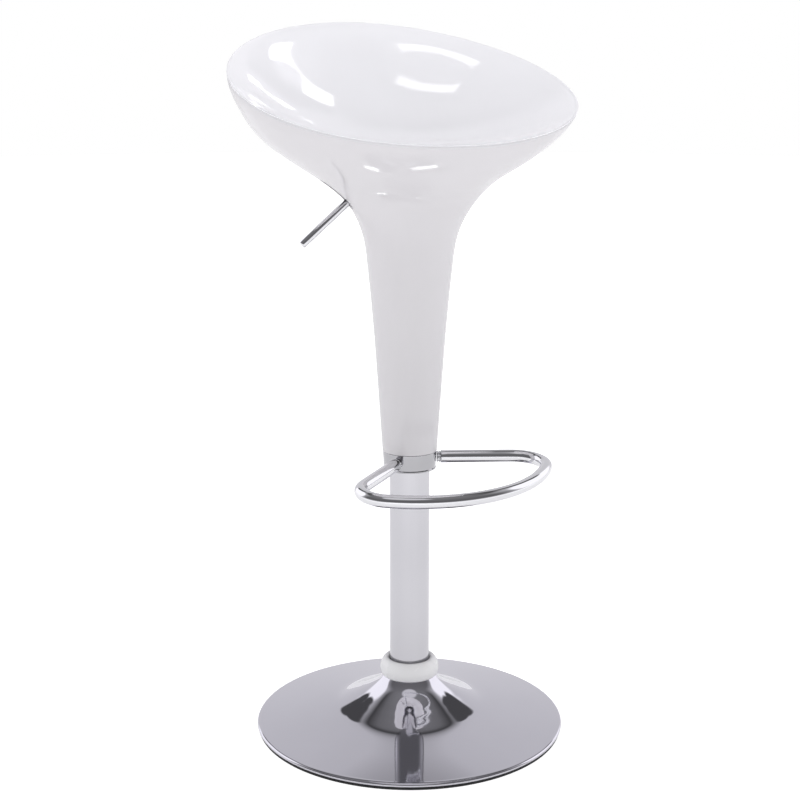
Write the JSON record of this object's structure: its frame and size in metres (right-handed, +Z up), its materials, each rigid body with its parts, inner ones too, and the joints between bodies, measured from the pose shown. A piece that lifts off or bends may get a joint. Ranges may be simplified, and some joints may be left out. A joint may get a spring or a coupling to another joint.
{
  "type": "adjustable swivel bar stool",
  "caption": "Bar stool with a slanted glossy bowl seat on a trumpet trunk, gas lift with side lever, chrome column, footrest loop and round trumpet base.",
  "frame": {"origin": "on the floor under the middle of the whole stool's box; the column's axis stands 13.5 mm ahead of it, at Y = -0.0135", "axes": "+Z up along the column, -Y the way the sitter faces, -X the side of the height lever; the stool is at the top of its travel"},
  "size_m": [0.426, 0.4195, 0.8828],
  "materials": {
    "white_abs": "high-gloss white moulded ABS",
    "white_trim": "white moulded plastic, semi-gloss",
    "chrome": "bright chrome plate",
    "column_chrome": "chrome plate on drawn tube",
    "steel": "zinc-plated steel",
    "iron": "black painted casting",
    "nylon": "black nylon",
    "rubber": "black rubber",
    "brass": "turned brass"
  },
  "bodies": {
    "base": {"base_cover": "chrome", "base_floor_ring": "rubber", "base_weight": "iron", "base_socket": "steel", "hub_trim_ring": "white_trim", "outer_column": "column_chrome", "column_guide_bush": "nylon", "column_end_plate": "steel", "bearing_lower_race": "steel", "bearing_cage": "brass"},
    "spindle": {"bearing_upper_race": "steel", "bump_stop": "rubber", "piston_rod": "chrome", "piston": "brass", "rod_clip": "steel"},
    "seat": {"pressure_tube": "steel", "tube_gland": "nylon", "valve_body": "brass", "cylinder_socket": "steel", "mechanism_plate": "steel", "lever_bracket": "steel", "lever_pivot_pin": "steel", "plate_screw_1": "steel", "plate_screw_2": "steel", "plate_screw_3": "steel", "plate_screw_4": "steel", "seat_pan": "white_abs", "seat_trunk": "white_abs", "support_tube": "steel", "footrest_collar": "chrome", "collar_bush": "nylon", "footrest_ring": "chrome", "footrest_stub_left": "chrome", "footrest_stub_right": "chrome"},
    "lever": {"lever_rocker": "steel", "lever_handle": "chrome"},
    "valve": {"valve_pin": "steel"}
  },
  "joints": [
    {"name": "seat_swivel", "type": "hinge", "parent": "base", "child": "spindle", "pos_m": [0, -0.0135, 0.022], "axis": [0, 0, 1], "continuous": true},
    {"name": "height_lift", "type": "slide", "parent": "spindle", "child": "seat", "axis": [0, 0, 1], "range_m": [-0.215, 0]},
    {"name": "height_lever", "type": "hinge", "parent": "seat", "child": "lever", "pos_m": [-0.037, -0.0135, 0.7118], "axis": [0, 1, 0], "range_deg": [0, 6.5], "stiffness_Nm_per_rad": 2, "springref_deg": -5.73},
    {"name": "valve_press", "type": "slide", "parent": "seat", "child": "valve", "axis": [0, 0, -1], "range_m": [0, 0.0046]}
  ],
  "couplings": [
    {"joint": "valve_press", "follows": "height_lever", "m_per_rad": 0.04}
  ]
}
